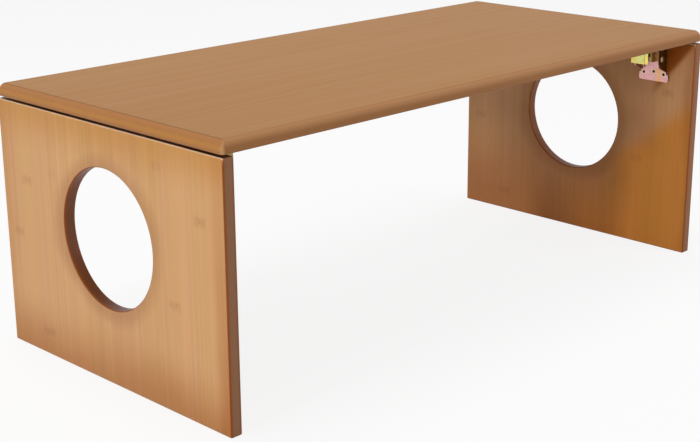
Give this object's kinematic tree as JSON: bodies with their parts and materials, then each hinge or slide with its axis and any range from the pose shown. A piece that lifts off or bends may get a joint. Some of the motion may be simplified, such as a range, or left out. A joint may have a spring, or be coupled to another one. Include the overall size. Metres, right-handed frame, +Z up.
{
  "type": "folding low table",
  "caption": "Low bamboo table: a rectangular top on two board legs with round windows; each leg folds flat under the top on self-locking steel hinges.",
  "frame": {"origin": "middle of the footprint, on the floor, with both legs open", "axes": "+X along the length of the top, -Y towards the front edge, +Z up"},
  "size_m": [0.85, 0.4, 0.315],
  "materials": {
    "top_bamboo": "satin caramel lacquer over laminated bamboo",
    "leg_bamboo": "satin honey lacquer over edge-glued bamboo strips",
    "yellow_zinc": "yellow passivated zinc with a rainbow sheen",
    "yellow_zinc_screw": "yellow passivated zinc",
    "bright_steel": "bright zinc",
    "spring_steel": "drawn spring wire"
  },
  "bodies": {
    "top": {"top_board": "top_bamboo", "left_front_top_bracket": "yellow_zinc", "left_front_top_screws": "yellow_zinc_screw", "left_front_pivot_rivet": "bright_steel", "left_front_latch_pivot_pin": "bright_steel", "left_front_latch_spring": "spring_steel", "left_back_top_bracket": "yellow_zinc", "left_back_top_screws": "yellow_zinc_screw", "left_back_pivot_rivet": "bright_steel", "left_back_latch_pivot_pin": "bright_steel", "left_back_latch_spring": "spring_steel", "right_front_top_bracket": "yellow_zinc", "right_front_top_screws": "yellow_zinc_screw", "right_front_pivot_rivet": "bright_steel", "right_front_latch_pivot_pin": "bright_steel", "right_front_latch_spring": "spring_steel", "right_back_top_bracket": "yellow_zinc", "right_back_top_screws": "yellow_zinc_screw", "right_back_pivot_rivet": "bright_steel", "right_back_latch_pivot_pin": "bright_steel", "right_back_latch_spring": "spring_steel"},
    "left_leg": {"left_leg_panel": "leg_bamboo", "left_front_leg_bracket": "yellow_zinc", "left_front_leg_screws": "yellow_zinc_screw", "left_back_leg_bracket": "yellow_zinc", "left_back_leg_screws": "yellow_zinc_screw"},
    "right_leg": {"right_leg_panel": "leg_bamboo", "right_front_leg_bracket": "yellow_zinc", "right_front_leg_screws": "yellow_zinc_screw", "right_back_leg_bracket": "yellow_zinc", "right_back_leg_screws": "yellow_zinc_screw"},
    "left_front_latch": {"left_front_latch_lever": "yellow_zinc", "left_front_lock_pin": "bright_steel"},
    "left_back_latch": {"left_back_latch_lever": "yellow_zinc", "left_back_lock_pin": "bright_steel"},
    "right_front_latch": {"right_front_latch_lever": "yellow_zinc", "right_front_lock_pin": "bright_steel"},
    "right_back_latch": {"right_back_latch_lever": "yellow_zinc", "right_back_lock_pin": "bright_steel"}
  },
  "joints": [
    {"name": "left_leg_fold", "type": "hinge", "parent": "top", "child": "left_leg", "pos_m": [-0.3975, 0, 0.2735], "axis": [0, -1, 0], "range_deg": [0, 90]},
    {"name": "right_leg_fold", "type": "hinge", "parent": "top", "child": "right_leg", "pos_m": [0.3975, 0, 0.2735], "axis": [0, 1, 0], "range_deg": [0, 90]},
    {"name": "left_front_latch_turn", "type": "hinge", "parent": "top", "child": "left_front_latch", "pos_m": [-0.3775, -0.1375, 0.2896], "axis": [0, -1, 0], "range_deg": [0, 15.1], "stiffness_Nm_per_rad": 0.1, "springref_deg": 45.84},
    {"name": "left_back_latch_turn", "type": "hinge", "parent": "top", "child": "left_back_latch", "pos_m": [-0.3775, 0.1375, 0.2896], "axis": [0, -1, 0], "range_deg": [0, 15.1], "stiffness_Nm_per_rad": 0.1, "springref_deg": 45.84},
    {"name": "right_front_latch_turn", "type": "hinge", "parent": "top", "child": "right_front_latch", "pos_m": [0.3775, -0.1375, 0.2896], "axis": [0, 1, 0], "range_deg": [0, 15.1], "stiffness_Nm_per_rad": 0.1, "springref_deg": 45.84},
    {"name": "right_back_latch_turn", "type": "hinge", "parent": "top", "child": "right_back_latch", "pos_m": [0.3775, 0.1375, 0.2896], "axis": [0, 1, 0], "range_deg": [0, 15.1], "stiffness_Nm_per_rad": 0.1, "springref_deg": 45.84}
  ]
}
